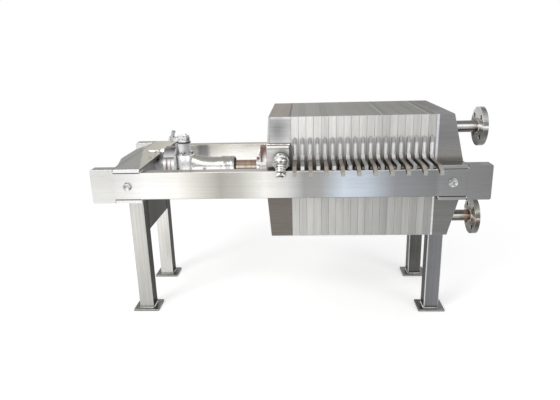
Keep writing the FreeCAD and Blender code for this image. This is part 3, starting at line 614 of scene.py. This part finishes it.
BRIGHT_BOLT = fittings("bright_bolt", grey(0.85), grey(0.30))
DARK_BOLT = fittings("dark_bolt", grey(0.30), grey(0.08))
KNOB_METAL = fittings("knob_metal", grey(0.90, 0.02), grey(0.20, 0.05), 0.46, 0.60, 0.005, 1.0)
POT_PAINT = painted_casting("pot_aluminium_paint", grey(0.98), grey(0.90), grey(0.98, -0.01), 0.6)
WELD = weld_metal()
SEAL = rubber("seal_rubber", 0.02)


def dress_nodes():
    for node, made in frame["nodes"].items():
        finish = next(name for name in FINISHES if name in node)
        made.data.materials.clear()
        made.data.materials.append(FINISHES[finish])


# ------------------------------ meshes

def piece(name, mesh, body, material, sharp_angle=35):
    """Makes an object of a bmesh, shades it and lets it ride on its body."""
    limit = math.radians(sharp_angle)
    for edge in mesh.edges:
        edge.smooth = len(edge.link_faces) == 2 and edge.calc_face_angle() < limit
    for side in mesh.faces:
        side.smooth = True
    data = bpy.data.meshes.new(name)
    mesh.to_mesh(data)
    mesh.free()
    data.materials.append(material)
    made = bpy.data.objects.new(name, data)
    bpy.context.scene.collection.objects.link(made)
    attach(made, body)
    return made


def facing(direction):
    """The rotation that turns +Z to a direction."""
    return Vector(direction).to_track_quat("Z", "Y").to_matrix().to_4x4()


def angles(count):
    """Even steps round a circle."""
    return [2 * math.pi * step / count for step in range(count)]


def circle(centre, direction, radius, count):
    """Points round a circle, without the first one again."""
    turn = facing(direction).to_3x3()
    return [Vector(centre) + turn @ Vector((radius * math.cos(angle), radius * math.sin(angle), 0))
            for angle in angles(count)]


def skin(rings, ends="capped"):
    """A mesh through rings of points. Its ends are capped, open, or joined to each other."""
    mesh = bmesh.new()
    made = [[mesh.verts.new(point) for point in ring] for ring in rings]
    count = len(made[0])
    pairs = list(zip(made, made[1:]))
    if ends == "joined":
        pairs.append((made[-1], made[0]))
    for low, high in pairs:
        for step in range(count):
            after = (step + 1) % count
            mesh.faces.new((low[step], low[after], high[after], high[step]))
    if ends == "capped":
        mesh.faces.new(list(reversed(made[0])))
        mesh.faces.new(made[-1])
    return mesh


def lathe(profile, centre, direction, segments=RIM_SEGMENTS, ends="capped"):
    """A turned mesh from (height, radius) points, standing on `centre` along `direction`."""
    axis = Vector(direction).normalized()
    rings = [circle(Vector(centre) + axis * height, direction, radius, segments) for height, radius in profile]
    return skin(rings, ends)


def oval_ring(x, half_width, half_height, count=RIM_SEGMENTS):
    """An upright oval across the jack's axis."""
    return [Vector((x, half_width * math.cos(angle), JACK_HEIGHT + half_height * math.sin(angle)))
            for angle in angles(count)]


def tube(path, radii, segments):
    """A round bar along a path of points, with a radius at each."""
    ahead = [after - before for before, after in zip(path, path[1:])]
    aims = [ahead[0], *[(before + after) / 2 for before, after in zip(ahead, ahead[1:])], ahead[-1]]
    return skin([circle(point, aim, radius, segments) for point, aim, radius in zip(path, aims, radii)])


def join(meshes):
    """Several bmeshes as one."""
    whole = bmesh.new()
    for mesh in meshes:
        data = bpy.data.meshes.new("joined")
        mesh.to_mesh(data)
        mesh.free()
        whole.from_mesh(data)
        bpy.data.meshes.remove(data)
    return whole


def hex_head(across_flats, height, centre, direction):
    """A hexagon head with its corners turned off."""
    radius = across_flats / math.sqrt(3)
    mesh = lathe([(0, radius), (height, radius)], (0, 0, 0), Z_AXIS, 6)
    top = [edge for edge in mesh.edges if all(vert.co.z > height / 2 for vert in edge.verts)]
    bmesh.ops.bevel(mesh, geom=top, offset=0.14 * height, segments=2, affect="EDGES", profile=0.6)
    mesh.transform(Matrix.Translation(Vector(centre)) @ facing(direction))
    return mesh


def washer(radius, thickness, centre, direction):
    edge = thickness * 0.25
    return lathe([(0, radius), (thickness - edge, radius), (thickness, radius - edge)], centre, direction, 32)


def bolt(thread, centre, direction):
    """A hexagon bolt with its washer and the turned disc under its head."""
    flats = 1.5 * thread
    plate = 0.17 * thread
    axis = Vector(direction).normalized()
    return join([
        washer(thread, plate, centre, direction),
        lathe([(0, flats * 0.47), (plate * 0.4, flats * 0.47)], Vector(centre) + axis * plate, direction, 32),
        hex_head(flats, 0.65 * thread, Vector(centre) + axis * plate * 1.3, direction),
    ])


def cap_screw(thread, centre, direction):
    """A round socket head with a bevelled rim and its socket."""
    radius, height, bevel = 0.75 * thread, thread, 0.12 * thread
    socket = 0.45 * thread
    return lathe([(0, radius), (height - bevel, radius), (height, radius - bevel), (height, socket),
                  (height / 2, socket), (height / 2, 0.001)], centre, direction, 24)


def weld_bead(points, radius, pitch=0.0032):
    """A rippled bead along straight runs between the points."""
    dice = random.Random(len(points) + round(1e4 * points[0][0]))
    points = [Vector(point) for point in points]
    runs = []
    for start, end in zip(points, points[1:]):
        steps = max(2, round((end - start).length / pitch) * 4)
        rings = []
        for step in range(steps + 1):
            girth = radius * (0.86 + 0.26 * (step % 4) / 4 + 0.08 * dice.random())
            rings.append(circle(start.lerp(end, step / steps), end - start, girth, 8))
        runs.append(skin(rings))
    return join(runs)


def weld_ring(centre, direction, radius, bead):
    """A bead round a circle."""
    return weld_bead(closed(circle(centre, direction, radius, 40)), bead)


def closed(points):
    return [*points, points[0]]


def surface_x(node, y, z, start):
    """Where a line along X, from `start`, meets a node."""
    made = frame["nodes"][node]
    step = -1 if start > 0 else 1
    hit, place = made.ray_cast((start, y, z), (step, 0, 0))[:2]
    return place.x if hit else start


# ------------------------------ pieces

def beam_bolts():
    """The bolts that hold both beams between the tie plates."""
    ear_length = EAR_HIGH.x - EAR_LOW.x
    z = (BEAM_LOW.z + BEAM_HIGH.z) / 2
    for side, sign in SIDES.items():
        face_y = sign * -BEAM_LOW.y
        for end, x in (("tail", TAIL_HIGH.x - ear_length / 2), ("head", EAR_LOW.x + ear_length / 2)):
            mesh = bolt(0.016, (x, face_y, z), (0, sign, 0))
            piece("%s_%s_beam_bolt" % (side, end), mesh, "stand", BRIGHT_BOLT)


def tie_plate_welds():
    """Beads where the beams meet the tie plates, and short ones at the plates' outer corners."""
    inner, outer = -BEAM_HIGH.y, -BEAM_LOW.y
    for side, sign in SIDES.items():
        beads = []
        for z in (BEAM_LOW.z, BEAM_HIGH.z):
            for x in (TAIL_HIGH.x, EAR_LOW.x):
                beads.append(weld_bead([(x, sign * inner, z), (x, sign * outer, z)], 0.0025))
            lift = 0.006 if z == BEAM_HIGH.z else -0.006
            for x in (TAIL_HIGH.x, EAR_LOW.x, -EAR_HIGH.x, EAR_HIGH.x):
                beads.append(weld_bead([(x, sign * outer, z), (x, sign * outer, z + lift)], 0.0022))
        piece(side + "_tie_welds", join(beads), "stand", WELD)


def leg_welds():
    """Fillet welds round the legs, at their feet and at their tops."""
    for legs in ("tail_legs", "head_legs"):
        low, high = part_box(legs)
        size = high.x - low.x
        beads = []
        for sign in SIDES.values():
            outer = high.y * sign
            inner = (high.y - size) * sign
            corners = closed([(low.x, outer), (high.x, outer), (high.x, inner), (low.x, inner)])
            for z in (low.z, high.z):
                beads.append(weld_bead([(x, y, z) for x, y in corners], 0.003))
        piece(legs + "_welds", join(beads), "stand", WELD)


def apron_welds():
    """Beads along the apron's sides and top."""
    low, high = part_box("tail_apron")
    beads = []
    for x in (low.x, high.x):
        beads.append(weld_bead([(x, low.y, high.z), (x, high.y, high.z)], 0.0022))
    for sign in SIDES.values():
        beads.append(weld_bead([(high.x, sign * high.y, low.z + 0.002), (high.x, sign * high.y, high.z)], 0.0022))
    piece("apron_welds", join(beads), "stand", FINISHES["tail_apron"])


def tail_welds():
    """Beads round the tail housing, under its top plate and on the thrust plate."""
    low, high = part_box("tail_housing")
    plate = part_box("tail_thrust_plate")[1]
    beads = [weld_bead([(x, low.y + 0.002, z), (x, high.y - 0.002, z)], 0.0025)
             for x in (low.x, plate.x) for z in (low.z, high.z)]
    piece("tail_welds", join(beads), "stand", WELD)


def flange_pieces():
    """Beads at both ends of each pipe, and the raised sealing face of its flange with its turned grooves."""
    radius = 0.0212
    for level, z in PORT_HEIGHTS.items():
        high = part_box(level + "_pipe")[1]
        y = middle_of(level + "_pipe").y
        back = high.x - FLANGE_THICKNESS
        slope = [(surface_x("fixed_head", point.y, point.z, 0.70), point.y, point.z)
                 for point in circle((0, y, z), X_AXIS, radius + 0.0005, 40)]
        beads = [weld_ring((back, y, z), X_AXIS, radius, 0.0030), weld_bead(closed(slope), 0.0028)]
        piece(level + "_pipe_welds", join(beads), "stand", WELD)
        grooves = [(0, PORT_BORE + 0.001)]
        for step in range(6):
            start = PORT_BORE + 0.003 + 0.0032 * step
            grooves += [(0.0012, start), (0.0012, start + 0.0022), (0.0006, start + 0.0025)]
        grooves.append((0, PORT_BORE + 0.024))
        raised = lathe(grooves, (high.x - 0.0013, y, z), X_AXIS, ends="joined")
        piece(level + "_flange_face", raised, "stand", FINISHES[level + "_pipe"])


def jack_barrel():
    """The barrel: an upright oval root in the pot, a taper, a round collar with two grooves and a dark wiper."""
    low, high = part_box("jack_barrel")
    collar = high.x - 0.055
    rings = [(low.x - 0.018, RAM_BORE, RAM_BORE), (low.x - 0.018, 0.0210, 0.0470), (low.x, 0.0235, 0.0465),
             (low.x + 0.014, 0.0265, 0.0440), (low.x + 0.030, 0.0295, 0.0410), (low.x + 0.050, 0.0318, 0.0375),
             (low.x + 0.074, 0.0330, 0.0345), (low.x + 0.100, 0.0330, 0.0330)]
    turned = [(collar - 0.002, 0.0330), (collar, 0.0340), (collar + 0.003, 0.0360)]
    for start in (high.x - 0.032, high.x - 0.024):
        turned += [(start, 0.0360), (start + 0.001, 0.0345), (start + 0.003, 0.0345), (start + 0.004, 0.0360)]
    turned += [(high.x - 0.003, 0.0360), (high.x, 0.0335), (high.x, RAM_BORE)]
    rings += [(x, radius, radius) for x, radius in turned]
    made = piece("tapered_barrel", skin([oval_ring(*ring) for ring in rings], "joined"), "stand",
                 FINISHES["jack_barrel"])
    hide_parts("jack_barrel")
    ring = lathe([(-0.001, 0.0197), (-0.001, 0.0300), (0.0015, 0.0300), (0.0035, 0.0270), (0.0035, 0.0197)],
                 (high.x, 0, JACK_HEIGHT), X_AXIS, ends="joined")
    piece("barrel_wiper", ring, "stand", SEAL)
    pot_low = JACK_HEIGHT - 0.045
    radius = 0.0375
    profile = [(pot_low, 0.001), (pot_low, radius - 0.002), (pot_low + 0.002, radius), (POT_TOP - 0.004, radius),
               (POT_TOP, radius - 0.003), (POT_TOP + 0.0002, 0.001)]
    pot = lathe(profile, (PUMP_X, 0, 0), Z_AXIS)
    piece("round_pot", pot, "stand", POT_PAINT)


def carrier_knobs():
    """The ribbed knobs on the rollers' axles: rings that narrow and turn down in front of the beams."""
    roller = joint_place("front_roller_spin")
    path_points = [(0.2865, 0.014), (0.2930, 0.012), (0.2985, 0.006), (0.3025, -0.003), (0.3065, -0.013),
                   (0.3110, -0.023), (0.3150, -0.031), (0.3190, -0.038)]
    girths = [0.0225, 0.0235, 0.0230, 0.0215, 0.0200, 0.0185, 0.0175, 0.0170]
    parts = []
    for sign in SIDES.values():
        route = [Vector((roller.x, sign * y, roller.z + z)) for y, z in path_points]
        path, radii = [], []
        for index in range(len(route) - 1):
            for step in range(8):
                share = step / 8
                path.append(route[index].lerp(route[index + 1], share))
                girth = girths[index] * (1 - share) + girths[index + 1] * share
                radii.append(girth - 0.0036 * abs(math.cos(math.pi * (index + share) * 1.25)) ** 3)
        parts.append(tube(path, radii, 32))
        aim = (route[-1] - route[-2]).normalized()
        end = route[-1] - aim * 0.004
        parts.append(lathe([(0.0, 0.0060), (0.0, 0.0180), (0.0015, 0.0205), (0.0065, 0.0205), (0.0085, 0.0185),
                            (0.0085, 0.0105), (0.0020, 0.0100)], end, aim, 48, "joined"))
    made = piece("carrier_knobs", join(parts), "moving_head", KNOB_METAL, 30)
    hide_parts("carrier_keepers")


def roller_ridges():
    """Turned ridges on the outer faces of the rollers."""
    for side, sign in SIDES.items():
        centre = joint_place(side + "_roller_spin")
        profile = [(0, 0.0100)]
        for start in (0.0120, 0.0165, 0.0210, 0.0255):
            profile += [(0.0008, start), (0.0022, start + 0.0012), (0.0008, start + 0.0030)]
        profile.append((0, 0.0292))
        outer = abs(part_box("front_carrier_roller")[0].y)
        mesh = lathe(profile, (centre.x, sign * (outer - 0.0002), centre.z), (0, sign, 0), ends="joined")
        piece(side + "_roller_ridges", mesh, side + "_roller", FINISHES["carrier_roller"])


def bracket_welds():
    """Beads that hold the carrier brackets to the sides of the moving head."""
    side_y = PLATE_HIGH.y
    for side, sign in SIDES.items():
        corners = [(BRACKET_LOW.x, BRACKET_LOW.z), (BRACKET_LOW.x, BRACKET_HIGH.z), (BRACKET_HIGH.x, BRACKET_HIGH.z)]
        bead = weld_bead([(x, sign * side_y, z) for x, z in corners], 0.0030)
        piece(side + "_bracket_weld", bead, "moving_head", WELD)


def pad_bolts():
    """The bolts that hold the ram's socket to the moving head."""
    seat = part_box("ram_pad")[1].x - PAD_THICKNESS
    meshes = [bolt(0.010, point, -X_AXIS) for point in circle((seat, 0, JACK_HEIGHT), X_AXIS, 0.058, 6)]
    piece("ram_pad_bolts", join(meshes), "moving_head", BRIGHT_BOLT)


def jack_details():
    """Bolts of the jack's base, its drain plugs, the pump's flange nuts and the gland of its valve."""
    disc_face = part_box("tail_thrust_plate")[1].x + 0.040
    bolts = [bolt(0.010, point, X_AXIS) for point in circle((disc_face, 0, JACK_HEIGHT), X_AXIS, 0.041, 4)]
    pump = Vector((PUMP_X, 0, POT_TOP))
    collar = lathe([(0, 0.0262), (0, 0.0335), (0.004, 0.0335), (0.006, 0.0315), (0.006, 0.0262)], pump, Z_AXIS,
                   ends="joined")
    nuts = [hex_head(0.012, 0.008, point + Z_AXIS * 0.005, Z_AXIS) for point in circle(pump, Z_AXIS, 0.0290, 4)]
    valve = joint_place("release_valve_turn")
    seat = (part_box("jack_release_valve")[1].x, valve.y, valve.z)
    gland = [hex_head(0.020, 0.012, seat, -X_AXIS),
             lathe([(0.012, 0.0052), (0.012, 0.0085), (0.020, 0.0078), (0.024, 0.0052)], seat, -X_AXIS, 32, "joined")]
    piece("jack_fixings", join([*bolts, collar, *nuts, *gland]), "stand", BRIGHT_BOLT)
    drains = [((-0.349, -0.0385, 0.5460), (0, -0.93, -0.36)), ((-0.452, -0.0255, 0.5480), (-0.6, -0.8, 0))]
    plugs = [hex_head(0.012, 0.007, place, aim) for place, aim in drains]
    plugs.append(hex_head(0.014, 0.009, (PUMP_X + 0.0275, -0.004, POT_TOP), Z_AXIS))
    piece("jack_plugs", join(plugs), "stand", DARK_BOLT)


def pump_details():
    """The pump's seal ring, the hexagon and screws on its cap, and the pin's heads."""
    low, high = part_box("pump_cap")
    ring = lathe([(0, 0.0252), (0.0005, 0.0275), (0.002, 0.0285), (0.004, 0.0285), (0.0055, 0.0275), (0.006, 0.0252)],
                 (PUMP_X, 0, low.z - 0.0062), Z_AXIS, ends="joined")
    piece("pump_seal", ring, "stand", SEAL)
    top = (PUMP_X + 0.005, 0, high.z)
    meshes = [hex_head(0.030, 0.006, top, Z_AXIS), hex_head(0.016, 0.011, top, Z_AXIS)]
    for x, y in ((-0.020, -0.002), (0.0, 0.021), (0.0, -0.021)):
        meshes.append(cap_screw(0.006, (PUMP_X + x, y, high.z), Z_AXIS))
    pin = joint_place("pump_lever_pivot")
    for sign in SIDES.values():
        meshes.append(washer(0.0085, 0.002, (pin.x, sign * 0.017, pin.z), (0, sign, 0)))
        meshes.append(lathe([(0, 0.0062), (0.003, 0.0062), (0.0042, 0.0050)], (pin.x, sign * 0.019, pin.z),
                            (0, sign, 0), 32))
    piece("pump_fixings", join(meshes), "stand", FINISHES["pump_cap"])


def valve_balls():
    """Ball ends of the release valve's bar."""
    low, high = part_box("jack_release_valve")
    valve = joint_place("release_valve_turn")
    bar_x = low.x + 0.030
    balls = []
    for y in (low.y, high.y):
        mesh = bmesh.new()
        bmesh.ops.create_uvsphere(mesh, u_segments=20, v_segments=12, radius=0.0050)
        mesh.transform(Matrix.Translation((bar_x, y, valve.z)))
        balls.append(mesh)
    tip = lathe([(0, 0.0050), (0.002, 0.0062), (0.006, 0.0062), (0.008, 0.0040)], (low.x + 0.008, valve.y, valve.z),
                (-1, 0, 0), 32)
    piece("valve_bar_ends", join([*balls, tip]), "release_valve", FINISHES["jack_release_valve"])


# ------------------------------ studio

WORLD_LIGHT = 0.55
FLOOR_GLOW = 0.42


def seen_directly(tree):
    """1 for rays from the camera and for reflections and refractions, 0 for rays that carry light."""
    path = tree.nodes.new("ShaderNodeLightPath")
    seen = path.outputs["Is Camera Ray"]
    for other in ("Is Glossy Ray", "Is Transmission Ray"):
        either = tree.nodes.new("ShaderNodeMath")
        either.operation = "MAXIMUM"
        tree.links.new(seen, either.inputs[0])
        tree.links.new(path.outputs[other], either.inputs[1])
        seen = either.outputs[0]
    return seen


def world():
    """White where it is seen, and a softer light on the press."""
    made = bpy.data.worlds.new("studio_world")
    made.use_nodes = True
    tree = made.node_tree
    background = tree.nodes["Background"]
    background.inputs["Color"].default_value = (1, 1, 1, 1)
    strength = tree.nodes.new("ShaderNodeMapRange")
    strength.inputs["To Min"].default_value = WORLD_LIGHT
    strength.inputs["To Max"].default_value = 1.0
    tree.links.new(seen_directly(tree), strength.inputs["Value"])
    tree.links.new(strength.outputs[0], background.inputs["Strength"])
    bpy.context.scene.world = made


def floor():
    """A pale floor that takes the shadow of the press and fades to plain white further away."""
    mesh = bmesh.new()
    bmesh.ops.create_circle(mesh, cap_ends=True, segments=96, radius=30)
    data = bpy.data.meshes.new("floor")
    mesh.to_mesh(data)
    mesh.free()
    made = bpy.data.objects.new("floor", data)
    bpy.context.scene.collection.objects.link(made)
    made.location.z = cad_bounds[0][2] - 0.0005
    look = Look("pale_floor")
    distance = look.vector_maths("LENGTH", look.position, (0, 0, 0)).outputs["Value"]
    far = look.spread(distance, 1.2, 3.2)
    look.set(Base_Color=look.mix(far, grey(0.9), grey(0)), Roughness=0.9, Specular_IOR_Level=0.0)
    glow = look.product(seen_directly(look.tree), look.spread(far, 0, 1, FLOOR_GLOW, 1.0))
    look.set(Emission_Color=(1, 1, 1, 1), Emission_Strength=glow)
    data.materials.append(look.material)


def lamp(name, place, target, size, power, colour=(1, 1, 1)):
    data = bpy.data.lights.new(name, "AREA")
    data.shape = "RECTANGLE"
    data.size, data.size_y = size
    data.energy = power
    data.color = colour
    made = bpy.data.objects.new(name, data)
    bpy.context.scene.collection.objects.link(made)
    made.location = place
    made.rotation_euler = (Vector(target) - Vector(place)).to_track_quat("-Z", "Y").to_euler()


def lamps():
    middle = (0, 0, 0.5)
    lamp("key", (-2.2, -2.6, 2.6), middle, (1.8, 1.8), 60, (1.0, 1.0, 0.98))
    lamp("fill", (2.6, -2.2, 1.8), middle, (1.6, 1.6), 20, (0.95, 0.97, 1.0))
    lamp("back", (0.4, 2.6, 2.8), middle, (2.4, 1.4), 7)


def camera():
    """Near the middle of the press and a little above it, looking slightly down."""
    focal_pixels, image_width = 510.4, 560
    data = bpy.data.cameras.new("camera")
    data.sensor_width = 36
    data.lens = focal_pixels * data.sensor_width / image_width
    data.shift_x = 0.0064
    data.shift_y = -0.0052
    made = bpy.data.objects.new("camera", data)
    bpy.context.scene.collection.objects.link(made)
    made.location = (0.062, -2.043, 1.025)
    yaw, pitch, roll = (math.radians(angle) for angle in (3.34, 90 - 16.50, -1.57))
    turn = Matrix.Rotation(yaw, 4, "Z") @ Matrix.Rotation(pitch, 4, "X") @ Matrix.Rotation(roll, 4, "Z")
    made.rotation_euler = turn.to_euler()
    bpy.context.scene.camera = made


for make in (dress_nodes, beam_bolts, tie_plate_welds, leg_welds, apron_welds, tail_welds, flange_pieces, jack_barrel,
             carrier_knobs, roller_ridges, bracket_welds, pad_bolts, jack_details, pump_details, valve_balls,
             world, floor, lamps, camera):
    make()
bpy.context.scene.view_settings.view_transform = "Standard"
